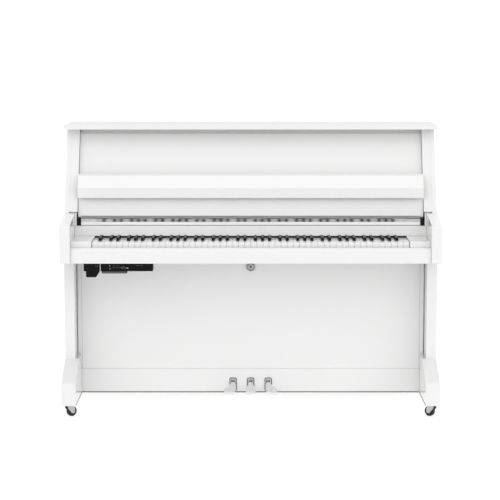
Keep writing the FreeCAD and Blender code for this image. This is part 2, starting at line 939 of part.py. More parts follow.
MIDDLE_TOE = [
    (6.5, 254), (8, 238), (14, 214), (19, 192), (20.5, 175), (17, 160), (9, 151.5), (0, 149),
    (-9, 151.5), (-17, 160), (-20.5, 175), (-19, 192), (-14, 214), (-8, 238), (-6.5, 254),
]
OUTER_TOE = [
    (6.5, 254), (9, 238), (18, 216), (30, 193), (36, 175), (33, 159), (25, 151), (15, 149),
    (5, 154), (-4, 166), (-10, 186), (-11, 205), (-9, 222), (-7, 240), (-6.5, 254),
]


def pedal_plan(side):
    """Pedal seen from above: a narrow arm and a broad toe, turned outwards on the outer two."""
    x = side * size("pedal_spacing")
    toe = MIDDLE_TOE
    if side != 0:
        toe = [(side * across, setback) for across, setback in OUTER_TOE]
    places = [FreeCAD.Vector(x + across, y_of(setback), 50) for across, setback in toe]
    curve = Part.BSplineCurve()
    curve.interpolate(places)
    back = y_of(size("rod_setback") + 8)
    corners = [
        places[-1],
        FreeCAD.Vector(places[-1].x, back, 50),
        FreeCAD.Vector(places[0].x, back, 50),
        places[0],
    ]
    return Part.Face(Part.Wire([curve.toShape(), *Part.makePolygon(corners).Edges]))


PEDAL_SIDE = [
    (148, 64), (148, 73), (175, 77), (225, 89), (258, 101), (322, 104), (450, 104),
    (450, 92), (322, 90), (262, 90), (225, 79), (175, 67),
]
PEDAL_NAMES = (("soft", -1), ("practice", 0), ("sustain", 1))


def pedals():
    """Three polished pedals on their pivots, their slot plates and their rods."""
    pivot = (y_of(size("pedal_pivot_setback")), size("pedal_pivot_height"))
    brackets, plates = [], []
    for name, side in PEDAL_NAMES:
        x = side * size("pedal_spacing")
        flat = pedal_plan(side).extrude(FreeCAD.Vector(0, 0, 70))
        lever = side_prism(at_setbacks(PEDAL_SIDE), x - 60, x + 60).common(flat)
        lever = lever.cut(rod((x - 30, *pivot), (x + 30, *pivot), 3.05))
        grouped(name + "_pedal", [lever])
        foot = block(x - 14, pivot[0] - 16, 69, x + 14, pivot[0] + 16, 73)
        cheeks = [
            block(x + edge, pivot[0] - 12, 73, x + edge + 4, pivot[0] + 12, 106) for edge in (-14, 10)
        ]
        axle = rod((x - 14, *pivot), (x + 14, *pivot), 3.0)
        brackets.append(fuse_all(foot, cheeks + [axle]))
        front = y_of(size("panel_setback"))
        plate = block(x - 13, front - 1.6, 58, x + 13, front, 111)
        crown = [e for e in plate.Edges if e.Length < 2 and e.CenterOfMass.z > 110]
        plate = plate.makeFillet(5, crown)
        plates.append(plate.cut(block(x - 8.5, front - 2, 83.5, x + 8.5, front + 1, 107.5)))
        stem_y = y_of(size("rod_setback"))
        grouped(name + "_pedal_rod", [rod((x, stem_y, 104.5), (x, stem_y, 700), 5)])
    grouped("pedal_brackets", brackets)
    grouped("pedal_plates", plates)


CHEEK_HALF = 11.5


def caster_wheel(x, y):
    """Rounded wheel with a hub bore, its axis across the piano."""
    radius = size("caster_radius")
    half = size("wheel_width") / 2
    wheel = rod((x - half, y, radius), (x + half, y, radius), radius)
    rims = [e for e in wheel.Edges if e.Length > 2 * math.pi * radius * 0.99]
    wheel = wheel.makeFillet(3.5, rims)
    return wheel.cut(rod((x - half - 1, y, radius), (x + half + 1, y, radius), 4.06))


def rear_casters():
    """Fixed housings with their axles, and a pair of wheels on one line."""
    radius = size("caster_radius")
    y = y_of(548)
    housings, wheels = [], []
    for side in (-1, 1):
        x = side * size("caster_middle")
        crown = block(x - 20, y - 25, 47, x + 20, y + 25, size("case_bottom"))
        cheek = [(y - 20, 47.5), (y + 20, 47.5), (y + 8, 13), (y - 8, 13)]
        cheeks = [
            side_prism(cheek, x + edge - 1.5, x + edge + 1.5) for edge in (-CHEEK_HALF, CHEEK_HALF)
        ]
        axle = rod((x - 13, y, radius), (x + 13, y, radius), 4)
        housings.append(fuse_all(crown, cheeks + [axle]))
        wheels.append(caster_wheel(x, y))
    grouped("rear_caster_wheels", wheels)
    return housings


def front_casters():
    """Swivelling casters under the feet, standing turned inwards as after a move."""
    radius = size("caster_radius")
    y = y_of(size("swivel_setback"))
    trail = size("caster_trail")
    bottom = size("case_bottom")
    plates = []
    for side, name in ((-1, "left"), (1, "right")):
        x = side * size("swivel_middle")
        plate = block(x - 19, y - 19, bottom - 3.5, x + 19, y + 19, bottom)
        plates.append(plate.cut(Part.makeCylinder(5.06, 6, FreeCAD.Vector(x, y, bottom - 5))))
        crown = Part.makeCylinder(15, 4.5, FreeCAD.Vector(x, y, 42.5))
        stem = Part.makeCylinder(5, 7.5, FreeCAD.Vector(x, y, 43))
        cheek = [(y - 11, 43), (y + 14, 43), (y + 20, 30), (y + 19, 14), (y + 6, 13), (y - 11, 34)]
        cheeks = [
            side_prism(cheek, x + edge - 1.5, x + edge + 1.5) for edge in (-CHEEK_HALF, CHEEK_HALF)
        ]
        axle = rod((x - 13, y + trail, radius), (x + 13, y + trail, radius), 4)
        fork = fuse_all(crown, [stem, axle] + cheeks)
        wheel = caster_wheel(x, y + trail)
        turn = side * size("caster_turn")
        for shape, part in ((fork, "fork"), (wheel, "wheel")):
            shape.rotate(FreeCAD.Vector(x, y, 0), FreeCAD.Vector(0, 0, 1), turn)
            grouped(f"front_{name}_caster_{part}", [Part.makeCompound([shape])])
    return plates


# ------------------------------------------------------------------ silent unit

BUTTON_PLACES = (-529, -518, -507)
KNOB_X = -490
CONTROL_Z = 592


def control_unit():
    """Electronics box, socket box and their controls, hung under the key bed."""
    ceiling = size("arm_bottom")
    main = block(-578, y_of(20), 577, -378, y_of(85), ceiling)
    lip = block(-575, y_of(22), 568, -478, y_of(60), 577.5)
    seats = [rod((KNOB_X, y_of(19), CONTROL_Z), (KNOB_X, y_of(27), CONTROL_Z), 3.1)]
    for x in BUTTON_PLACES:
        seats.append(block(x - 4.1, y_of(19), 589, x + 4.1, y_of(26), 595))
    shell = main.fuse(lip).removeSplitter()
    for seat in seats:
        shell = shell.cut(seat)
    grouped("control_unit", [shell])
    case = block(-644, y_of(20), 577, -583, y_of(110), ceiling)
    corners = [(-636, 577.5), (-636, 556), (-633, 553), (-598, 553), (-594, 557), (-584, 574), (-584, 577.5)]
    places = [FreeCAD.Vector(x, y_of(24), z) for x, z in corners]
    jaw = Part.Face(Part.makePolygon(places + [places[0]]))
    chin = jaw.extrude(FreeCAD.Vector(0, 56, 0))
    socket = rod((-615, y_of(14), 566), (-615, y_of(40), 566), 3.25)
    grouped("socket_box", [case.fuse(chin).removeSplitter().cut(socket)])
    stem = rod((KNOB_X, y_of(19.4), CONTROL_Z), (KNOB_X, y_of(26.5), CONTROL_Z), 3.04)
    grip = rod((KNOB_X, y_of(9), CONTROL_Z), (KNOB_X, y_of(19.5), CONTROL_Z), 7)
    grouped("volume_knob", [stem.fuse(grip).removeSplitter()])
    keys = []
    for x in BUTTON_PLACES:
        keys.append(block(x - 3.8, y_of(17.5), 589.3, x + 3.8, y_of(24), 594.7))
    grouped("function_buttons", keys)


side_panels()
grouped("side_trim", pilasters() + toe_blocks() + panel_battens() + key_blocks())
key_bed()
key_slip()
nameboard()
bottom_rail()
bottom_board()
lid()
upper_front_panel()
fallboard()
fallboard_lip()
long_hinge()
lip_hinge()
fallboard_back_rail()
fallboard_buffers()
lid_hinges()
lower_front_panel()
panel_lock()
keyboard()
action()
action_frame()
back()
soundboard()
iron_frame()
bridges()
stringing()
pedals()
grouped("caster_mounts", rear_casters() + front_casters())
control_unit()
doc.recompute()

for thing in doc.Objects:
    if "Invalid" in thing.State or "Error" in thing.State:
        raise RuntimeError(f"{thing.Label} failed: {thing.State}")
os.makedirs("parts", exist_ok=True)
for piece in pieces:
    shape = piece.Shape
    if shape.isNull() or not shape.isValid():
        raise RuntimeError(f"{piece.Label} has no valid shape")
    shape.exportStep(f"parts/{piece.Label}.step")
print(len(pieces), "pieces")
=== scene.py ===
import json
import math

import bmesh
import bpy
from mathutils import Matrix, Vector


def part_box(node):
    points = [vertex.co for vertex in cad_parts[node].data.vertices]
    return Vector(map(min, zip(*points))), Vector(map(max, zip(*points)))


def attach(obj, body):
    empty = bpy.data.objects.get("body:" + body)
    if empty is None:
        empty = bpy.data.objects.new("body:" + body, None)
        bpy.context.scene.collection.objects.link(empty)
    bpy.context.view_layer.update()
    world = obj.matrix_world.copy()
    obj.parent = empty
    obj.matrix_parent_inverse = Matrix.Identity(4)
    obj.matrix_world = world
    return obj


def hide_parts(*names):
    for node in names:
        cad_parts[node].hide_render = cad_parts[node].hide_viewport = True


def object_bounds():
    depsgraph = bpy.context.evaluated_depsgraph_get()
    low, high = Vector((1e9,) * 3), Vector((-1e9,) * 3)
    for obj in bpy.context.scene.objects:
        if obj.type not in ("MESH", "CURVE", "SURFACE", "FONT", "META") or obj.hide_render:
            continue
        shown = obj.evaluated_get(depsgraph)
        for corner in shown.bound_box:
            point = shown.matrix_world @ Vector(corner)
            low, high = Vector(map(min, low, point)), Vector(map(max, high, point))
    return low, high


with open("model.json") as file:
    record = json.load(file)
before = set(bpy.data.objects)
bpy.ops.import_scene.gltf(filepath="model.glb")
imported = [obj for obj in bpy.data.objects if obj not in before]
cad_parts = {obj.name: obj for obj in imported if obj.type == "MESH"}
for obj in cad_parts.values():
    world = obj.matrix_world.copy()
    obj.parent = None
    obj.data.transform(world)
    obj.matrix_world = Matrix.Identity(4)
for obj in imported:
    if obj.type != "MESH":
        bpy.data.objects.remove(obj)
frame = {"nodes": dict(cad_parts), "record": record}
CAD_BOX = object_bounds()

# ---------------------------------------------------------------- camera

CAMERA_DISTANCE = 6.645
CAMERA_HEIGHT = 1.498
CAMERA_SIDE = -0.0027
CAMERA_PITCH = 7.17
LENS = 125.6


def make_camera():
    """Long-lens view from the front, a little above the lid."""
    data = bpy.data.cameras.new("camera")
    data.lens = LENS
    data.sensor_width = 36.0
    camera = bpy.data.objects.new("camera", data)
    bpy.context.scene.collection.objects.link(camera)
    front = CAD_BOX[0][1]
    camera.location = (CAMERA_SIDE, front - CAMERA_DISTANCE, CAMERA_HEIGHT)
    camera.rotation_euler = (math.radians(90 - CAMERA_PITCH), 0, 0)
    bpy.context.scene.camera = camera


make_camera()

# ---------------------------------------------------------------- materials


class Nodes:
    """Short way to wire a node material."""

    def __init__(self, name):
        self.material = bpy.data.materials.new(name)
        self.material.use_nodes = True
        self.tree = self.material.node_tree
        self.shader = self.tree.nodes["Principled BSDF"]
        self.coords = self.tree.nodes.new("ShaderNodeTexCoord")

    def set(self, **values):
        for key, value in values.items():
            self.shader.inputs[key.replace("_", " ")].default_value = value

    def scaled(self, stretch):
        mapping = self.tree.nodes.new("ShaderNodeMapping")
        mapping.inputs["Scale"].default_value = stretch
        self.tree.links.new(self.coords.outputs["Object"], mapping.inputs["Vector"])
        return mapping.outputs["Vector"]

    def noise(self, scale, detail=3.0, stretch=(1, 1, 1), distortion=0.0):
        node = self.tree.nodes.new("ShaderNodeTexNoise")
        node.inputs["Scale"].default_value = scale
        node.inputs["Detail"].default_value = detail
        node.inputs["Distortion"].default_value = distortion
        self.tree.links.new(self.scaled(stretch), node.inputs["Vector"])
        return node.outputs["Fac"]

    def span(self, source, low, high):
        node = self.tree.nodes.new("ShaderNodeMapRange")
        node.inputs["To Min"].default_value = low
        node.inputs["To Max"].default_value = high
        self.tree.links.new(source, node.inputs["Value"])
        return node.outputs["Result"]

    def ramp(self, source, dark, light, low=0.0, high=1.0):
        """Colour from dark to light as the source goes from low to high."""
        node = self.tree.nodes.new("ShaderNodeValToRGB")
        first, last = node.color_ramp.elements
        first.position, last.position = low, high
        first.color, last.color = (*dark, 1), (*light, 1)
        self.tree.links.new(source, node.inputs["Fac"])
        return node.outputs["Color"]

    def colours(self, source, dark, light, low=0.3, high=0.7):
        colour = self.ramp(source, dark, light, low, high)
        self.tree.links.new(colour, self.shader.inputs["Base Color"])

    def roughness(self, source, low, high):
        self.tree.links.new(self.span(source, low, high), self.shader.inputs["Roughness"])

    def bump(self, source, strength, distance):
        node = self.tree.nodes.new("ShaderNodeBump")
        node.inputs["Strength"].default_value = strength
        node.inputs["Distance"].default_value = distance
        self.tree.links.new(source, node.inputs["Height"])
        self.tree.links.new(node.outputs["Normal"], self.shader.inputs["Normal"])

    def compute(self, operation, first, second):
        """Math node on a source, with a second source or a number."""
        node = self.tree.nodes.new("ShaderNodeMath")
        node.operation = operation
        self.tree.links.new(first, node.inputs[0])
        if isinstance(second, bpy.types.NodeSocket):
            self.tree.links.new(second, node.inputs[1])
        else:
            node.inputs[1].default_value = second
        return node.outputs["Value"]

    def beyond(self, direction, limit):
        """1 where the rest position along a direction passes a limit, else 0."""
        along = self.tree.nodes.new("ShaderNodeVectorMath")
        along.operation = "DOT_PRODUCT"
        along.inputs[1].default_value = direction
        self.tree.links.new(self.coords.outputs["Object"], along.inputs[0])
        return self.compute("GREATER_THAN", along.outputs["Value"], limit)

    def share(self, mask, first, second, socket, kind="FLOAT"):
        """Feeds a shader socket from the first source, and from the second where the mask is 1."""
        node = self.tree.nodes.new("ShaderNodeMix")
        node.data_type = kind
        source, result = {"FLOAT": (2, 0), "RGBA": (6, 2)}[kind]
        self.tree.links.new(mask, node.inputs[0])
        self.tree.links.new(first, node.inputs[source])
        self.tree.links.new(second, node.inputs[source + 1])
        self.tree.links.new(node.outputs[result], self.shader.inputs[socket])


def lacquer(name, colour, shade, coat=0.35, shine=0.5):
    """Polyester lacquer over board, deep gloss unless told otherwise, with faint ripple and haze."""
    n = Nodes(name)
    n.colours(n.noise(2.2, 4.0), shade, colour)
    n.roughness(n.noise(38.0, 5.0), 0.10, 0.20)
    n.bump(n.noise(7.0, 2.0), 0.05, 0.0006)
    n.set(Coat_Weight=coat, Coat_Roughness=0.04, IOR=1.45, Specular_IOR_Level=shine)
    return n.material


def plain_wood(name, dark, light, direction="X", roughness=(0.45, 0.65)):
    """Planed wood with grain along X or Z."""
    n = Nodes(name)
    stretch = {"X": (0.15, 3, 3), "Z": (3, 3, 0.15)}[direction]
    grain = n.noise(26.0, 8.0, stretch, 1.2)
    n.colours(grain, dark, light, 0.25, 0.75)
    n.roughness(grain, *roughness)
    n.bump(n.noise(90.0, 4.0, stretch), 0.25, 0.0004)
    return n.material


def dimmed(colour, share):
    """A share of a colour's strength."""
    return tuple(part * share for part in colour)


def metal(name, colour, roughness, brushed=(1, 1, 1), scale=120.0):
    """Bare or plated metal with brushing streaks."""
    n = Nodes(name)
    streaks = n.noise(scale, 4.0, brushed)
    n.colours(streaks, dimmed(colour, 0.88), colour)
    n.roughness(streaks, *roughness)
    n.bump(streaks, 0.06, 0.0002)
    n.set(Metallic=1.0)
    return n.material


def moulded(name, colour, roughness, grain=900.0, shine=0.5):
    """Moulded plastic with a fine spark-eroded grain."""
    n = Nodes(name)
    speck = n.noise(grain, 2.0)
    n.colours(n.noise(9.0, 3.0), dimmed(colour, 0.85), colour)
    n.roughness(speck, *roughness)
    n.bump(speck, 0.25, 0.0002)
    n.set(Specular_IOR_Level=shine)
    return n.material


def fibre(name, dark, light):
    """Pressed felt."""
    n = Nodes(name)
    fuzz = n.noise(420.0, 6.0, (1, 1, 1), 2.0)
    n.colours(fuzz, dark, light)
    n.roughness(fuzz, 0.85, 1.0)
    n.bump(fuzz, 0.7, 0.0009)
    n.set(Sheen_Weight=0.4, Sheen_Roughness=0.5)
    return n.material


WHITE = (0.745, 0.745, 0.742)
WHITE_SHADE = (0.73, 0.73, 0.727)
BEECH_DARK, BEECH_LIGHT = (0.50, 0.33, 0.18), (0.66, 0.47, 0.28)
WOOL_DARK, WOOL_LIGHT = (0.62, 0.60, 0.52), (0.78, 0.76, 0.70)
STICK_DARK, STICK_LIGHT = (0.60, 0.44, 0.26), (0.74, 0.58, 0.38)
CAPSTAN_RISE = 0.003
KEY_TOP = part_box("white_keys")[1][2] - CAPSTAN_RISE
KEY_SHELL = 0.0026
COVER_HIDDEN = 0.012


def covered_key(name, shell_colour, shell_shade, roughness, shine):
    """Key of pale wood with a thin polished covering on its top and front, as far as it is seen."""
    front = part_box("white_keys")[0][1]
    cover_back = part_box("nameboard")[0][1] + COVER_HIDDEN
    n = Nodes(name)
    split = n.tree.nodes.new("ShaderNodeSeparateXYZ")
    n.tree.links.new(n.coords.outputs["Object"], split.inputs["Vector"])
    depth, height = split.outputs["Y"], split.outputs["Z"]
    on_top = n.compute("GREATER_THAN", height, KEY_TOP - KEY_SHELL)
    on_front = n.compute("LESS_THAN", depth, front + KEY_SHELL)
    near = n.compute("LESS_THAN", depth, cover_back)
    mask = n.compute("MULTIPLY", n.compute("MAXIMUM", on_top, on_front), near)
    grain = n.noise(30.0, 7.0, (3, 0.15, 3), 1.0)
    wood = n.ramp(grain, STICK_DARK, STICK_LIGHT, 0.25, 0.75)
    shell = n.ramp(n.noise(6.0, 3.0), shell_shade, shell_colour)
    n.share(mask, wood, shell, "Base Color", "RGBA")
    n.share(mask, n.span(grain, 0.5, 0.65), n.span(n.noise(60.0, 3.0), *roughness), "Roughness")
    n.bump(n.noise(120.0, 3.0, (3, 0.3, 3)), 0.06, 0.0003)
    n.set(Specular_IOR_Level=shine)
    return n.material


def felt_tipped(name, direction, limit):
    """Beech with pressed white felt beyond a limit along a direction."""
    n = Nodes(name)
    mask = n.beyond(direction, limit)
    grain = n.noise(30.0, 7.0, (3, 3, 0.15), 1.0)
    fuzz = n.noise(420.0, 6.0, (1, 1, 1), 2.0)
    wood = n.ramp(grain, BEECH_DARK, BEECH_LIGHT, 0.25, 0.75)
    n.share(mask, wood, n.ramp(fuzz, WOOL_DARK, WOOL_LIGHT), "Base Color", "RGBA")
    n.share(mask, n.span(grain, 0.45, 0.65), n.span(fuzz, 0.85, 1.0), "Roughness")
    n.bump(fuzz, 0.35, 0.0005)
    return n.material


def plating_with_painted_dark_top(name, leaf, dark_top_colour, limit):
    """Plated hinge with a painted dark top: from a height up, where its rolled part and flush strip
    are, the colour is darker, as painted shade for the darker reflection in the upper facet.
    """
    n = Nodes(name)
    streaks = n.noise(120.0, 4.0, (0.05, 1, 1))
    plate = n.ramp(streaks, dimmed(leaf, 0.88), leaf, 0.3, 0.7)
    painted_dark = n.ramp(streaks, dimmed(dark_top_colour, 0.85), dark_top_colour)
    # Painted shade: above the height the plating takes the darker colour, standing in for the
    # reflection in the upper facet.
    n.share(n.beyond((0, 0, 1), limit), plate, painted_dark, "Base Color", "RGBA")
    n.roughness(streaks, 0.13, 0.22)
    n.bump(streaks, 0.06, 0.0002)
    n.set(Metallic=1.0)
    return n.material


MATERIALS = {
    "case_white": lacquer("case_white_lacquer", WHITE, WHITE_SHADE),
    "lip_white": lacquer("lip_white_lacquer", WHITE, WHITE_SHADE),
    "beech": plain_wood("beech_planed", BEECH_DARK, BEECH_LIGHT),
    "pine": plain_wood("pine_planed", (0.58, 0.40, 0.21), (0.75, 0.57, 0.34), "Z"),
    "spruce": plain_wood("spruce_varnished", (0.63, 0.43, 0.21), (0.80, 0.61, 0.34), "X", (0.25, 0.4)),
    "cast_plate": metal("bronzed_iron", (0.62, 0.47, 0.22), (0.28, 0.42), scale=300.0),
    "steel": metal("drawn_steel", (0.52, 0.52, 0.54), (0.30, 0.45)),
    "polished_steel": metal("polished_plating", (0.74, 0.74, 0.75), (0.05, 0.13), (0.05, 1, 1)),
    "unit_black": moulded("black_moulding", (0.005, 0.005, 0.0055), (0.45, 0.6), shine=0.1),
    "control_grey": moulded("dark_moulding", (0.03, 0.03, 0.032), (0.35, 0.5), shine=0.3),
    "key_white": covered_key(
        "white_key_covering", (0.80, 0.80, 0.785), (0.78, 0.78, 0.765), (0.12, 0.2), 0.5
    ),
    "key_black": moulded("black_key_covering", (0.006, 0.006, 0.006), (0.28, 0.4), shine=0.12),
    "felt": fibre("dark_felt", (0.006, 0.005, 0.005), (0.02, 0.016, 0.017)),
    "hammer_felt": fibre("wool_felt", WOOL_DARK, WOOL_LIGHT),
    "soft_black": moulded("black_rubber", (0.008, 0.008, 0.008), (0.5, 0.7), 500.0, 0.15),
    "wheel": moulded("black_wheel", (0.012, 0.012, 0.013), (0.3, 0.45), 400.0, 0.3),
}

# Height from which the long hinge plating is painted darker, as painted shade for its darker upper
# reflection.
PAINTED_DARK_FOOT = 0.7595
HAMMER_LEAN = math.radians(20)
TOWARDS_STRINGS = Vector((0, math.cos(HAMMER_LEAN), math.sin(HAMMER_LEAN)))
HAMMER_PIVOT = Vector((0, 0.108, 0.860))
HEAD_REACH = 0.012
HAMMER_FELT_FROM = TOWARDS_STRINGS.dot(HAMMER_PIVOT) + HEAD_REACH
DAMPER_FELT_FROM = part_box("dampers")[1][1] - HEAD_REACH

# Hinge plating with a painted dark top, standing in for reflected shade.
HINGE_PLATING = plating_with_painted_dark_top("hinge_plating_painted_dark_top", (0.84, 0.84, 0.845), (0.36, 0.36, 0.37), PAINTED_DARK_FOOT)
PEDAL_PLATING = metal("pedal_plating", (0.84, 0.84, 0.84), (0.10, 0.22), (1, 0.1, 1))
LID_LACQUER = lacquer("lid_lacquer", WHITE, WHITE_SHADE, coat=0.0, shine=0.0)
# Mid grey for strips put where only shade falls: painted shade in the side joints and painted shadow
# along the foot of the case.
PAINTED_SHADE_GREY = moulded("painted_shade_grey", (0.16, 0.16, 0.16), (0.5, 0.65), shine=0.2)
HAMMER_HEAD = felt_tipped("hammer_head", TOWARDS_STRINGS, HAMMER_FELT_FROM)
DAMPER_HEAD = felt_tipped("damper_head", Vector((0, 1, 0)), DAMPER_FELT_FROM)

OWN_FINISHES = (
    (PEDAL_PLATING, ("soft_pedal", "practice_pedal", "sustain_pedal")),
    (LID_LACQUER, ("lid",)),
    (HINGE_PLATING, ("long_hinge_leaf", "long_hinge_flap")),
    (HAMMER_HEAD, ("hammers", "sharp_hammers", "middle_c_hammer")),
    (DAMPER_HEAD, ("dampers", "middle_c_damper")),
)


def dress(node, material):
    """Gives a carried-over node one material."""
    obj = frame["nodes"][node]
    obj.data.materials.clear()
    obj.data.materials.append(material)


for entry in frame["record"]["subparts"]:
    dress(entry["node"], MATERIALS[entry["material_slot"]])
for finish, nodes in OWN_FINISHES:
    for node_name in nodes:
        dress(node_name, finish)

# ---------------------------------------------------------------- softened edges

SOFT_EDGES = {
    "side_panel_left": 0.003,
    "side_panel_right": 0.003,
    "side_trim": 0.0018,
    "lid": 0.003,
    "fallboard_lip": 0.0015,
    "upper_front_panel": 0.0015,
    "lower_front_panel": 0.0015,
    "bottom_rail": 0.0015,
    "nameboard": 0.001,
    "key_slip": 0.0015,
    "control_unit": 0.001,
    "socket_box": 0.001,
    "white_keys": 0.0007,
    "middle_c_key": 0.0007,
    "black_keys": 0.0009,
    "soft_pedal": 0.0028,
    "practice_pedal": 0.0028,
    "sustain_pedal": 0.0028,
    "back_frame": 0.002,
    "hammers": 0.0008,
    "sharp_hammers": 0.0008,
    "middle_c_hammer": 0.0008,
    "front_left_caster_fork": 0.0007,
    "front_right_caster_fork": 0.0007,
}


def soften(node, width):
    """Rounds the sharp edges of a board a little, as its lacquer does."""
    obj = frame["nodes"][node]
    bevel = obj.modifiers.new("edge", "BEVEL")
    bevel.width = width
    bevel.segments = 3
    bevel.limit_method = "ANGLE"
    bevel.angle_limit = math.radians(35)
    bevel.harden_normals = True


for node_name, edge_width in SOFT_EDGES.items():
    soften(node_name, edge_width)

# ---------------------------------------------------------------- small pieces

TURNS = 48
SHARP_FROM = 38
ON_AXIS = 1e-7


def add_piece(name, form, material, body):
    """Mesh piece that moves with a body."""
    mesh = bpy.data.meshes.new(name)
    bmesh.ops.recalc_face_normals(form, faces=form.faces)
    for face in form.faces:
        face.smooth = True
    form.to_mesh(mesh)
    form.free()
    mesh.set_sharp_from_angle(angle=math.radians(SHARP_FROM))
    mesh.materials.append(material)
    piece = bpy.data.objects.new(name, mesh)
    bpy.context.scene.collection.objects.link(piece)
    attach(piece, body)
    return piece


def across(axis):
    """Two directions square to an axis."""
    axis = Vector(axis).normalized()
    side = axis.orthogonal().normalized()
    return axis, side, axis.cross(side)


def lathe(form, centre, axis, profile, turns=TURNS):
    """Turned shape: profile gives (distance along the axis, radius) from one end to the other."""
    axis, side, up = across(axis)
    rings = []
    for along, radius in profile:
        base = Vector(centre) + axis * along
        if radius < ON_AXIS:
            rings.append([form.verts.new(base)])
            continue
        ring = []
        for step in range(turns):
            angle = 2 * math.pi * step / turns
            ring.append(form.verts.new(base + (side * math.cos(angle) + up * math.sin(angle)) * radius))
        rings.append(ring)
    for near, far in zip(rings, rings[1:]):
        for step in range(turns):
            after = (step + 1) % turns
            if len(near) == 1:
                form.faces.new((near[0], far[step], far[after]))
            elif len(far) == 1:
                form.faces.new((near[step], near[after], far[0]))
            else:
                form.faces.new((near[step], near[after], far[after], far[step]))


def brick(form, low, high, bevel):
    """Box between two corners, its edges rounded."""
    made = bmesh.ops.create_cube(form, size=1.0)["verts"]
    middle = (Vector(low) + Vector(high)) / 2
    span = Vector(high) - Vector(low)
    for vert in made:
        vert.co = Vector((vert.co.x * span.x, vert.co.y * span.y, vert.co.z * span.z)) + middle
    edges = {edge for vert in made for edge in vert.link_edges}
    bmesh.ops.bevel(form, geom=list(edges), offset=bevel, segments=3, profile=0.5, affect="EDGES")


def either_side(side, inner, outer):
    """Low and high X of a strip between two distances from the middle, on side -1 or 1."""
    return sorted((side * inner, side * outer))


BOX_LOOPS = ((0, 1, 5, 4), (1, 2, 6, 5), (2, 3, 7, 6), (3, 0, 4, 7), (4, 5, 6, 7), (0, 1, 2, 3))


def screw_heads(name, places, outward, radius, body, material):
    """Domed screw heads, each with a cross recess."""
    form = bmesh.new()
    axis, side, up = across(outward)
    depth = radius * 0.45
    for place in places:
        spot = Vector(place)
        lathe(form, spot, axis, [
            (-depth * 0.4, radius),
            (depth * 0.25, radius),
            (depth * 0.7, radius * 0.82),
            (depth, radius * 0.5),
            (depth * 1.05, radius * 0.36),
            (depth * 0.35, radius * 0.2),
            (depth * 0.3, 0),
        ], 20)
        for first, second in ((side, up), (up, side)):
            wide = first * radius * 0.62
            thin = second * radius * 0.1
            top = spot + axis * (depth * 1.02)
            low = spot + axis * (depth * 0.45)
            ends = [form.verts.new(p) for p in (
                top - wide - thin, top + wide - thin, top + wide + thin, top - wide + thin,
                low - wide * 0.6 - thin, low + wide * 0.6 - thin,
                low + wide * 0.6 + thin, low - wide * 0.6 + thin,
            )]
            for loop in BOX_LOOPS:
                form.faces.new([ends[i] for i in loop])
    add_piece(name, form, material, body)


LOCK_Z = 0.562
LOCK_DEEP = 0.030
SPINDLE_RADIUS = 0.0060
SPINDLE_START = 0.0085
TONGUE_HALF = 0.007


def lock_pieces():
    """Lock rose with a beaded rim and dished face, slotted barrel, and spindle with its tongue."""
    low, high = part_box("panel_lock")
    middle = ((low[0] + high[0]) / 2, low[1], LOCK_Z)
    rim = metal("lock_rim", (0.40, 0.40, 0.42), (0.14, 0.24))
    dark = metal("lock_barrel", (0.10, 0.10, 0.11), (0.25, 0.35))
    form = bmesh.new()
    lathe(form, middle, (0, 1, 0), [
        (0.0010, 0), (0.0010, 0.0035), (0.0022, 0.0042), (0.0034, 0.0075), (0.0036, 0.0105),
        (0.0026, 0.0128), (0.0006, 0.0140), (0.0000, 0.0152), (0.0006, 0.0166),
        (0.0022, 0.0176), (0.0050, 0.0180), (0.0084, 0.0180), (0.0086, 0.0176), (0.0086, 0),
    ])
    rose = add_piece("lock_rose", form, rim, "panel_lock")
    form = bmesh.new()
    lathe(form, middle, (0, 1, 0), [
        (0.0004, 0.0016), (-0.0002, 0.0030), (0.0006, 0.0040), (0.0024, 0.0044), (0.0030, 0.0044),
        (0.0030, 0.0016), (0.0004, 0.0016),
    ], 32)
    brick(form, (middle[0] - 0.0007, middle[1] + 0.0008, LOCK_Z - 0.0030),
          (middle[0] + 0.0007, middle[1] + 0.0020, LOCK_Z + 0.0030), 0.0002)
    add_piece("lock_barrel", form, dark, "panel_lock")
    form = bmesh.new()
    lathe(form, middle, (0, 1, 0), [
        (SPINDLE_START, 0), (SPINDLE_START, SPINDLE_RADIUS),
        (LOCK_DEEP, SPINDLE_RADIUS), (LOCK_DEEP, 0),
    ], 32)
    brick(form, (middle[0] - TONGUE_HALF, high[1] - 0.003, LOCK_Z - SPINDLE_RADIUS),
          (middle[0] + TONGUE_HALF, high[1], high[2]), 0.0008)
    add_piece("lock_spindle", form, MATERIALS["steel"], "panel_lock")
    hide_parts("panel_lock")


KNOB_RIBS = 30
KNOB_RIB_PLACE = 0.0061
MARK_ROWS = (
    (0.5985, 0.5995, (
        (-0.5295, -0.5245), (-0.5185, -0.5085), (-0.4420, -0.4300), (-0.4260, -0.4180),
    )),
    (0.5965, 0.5978, ((-0.600, -0.594), (-0.592, -0.588))),
)
COVER_RIB_ROWS = ((0.5800, 0.5812), (0.6040, 0.6052))


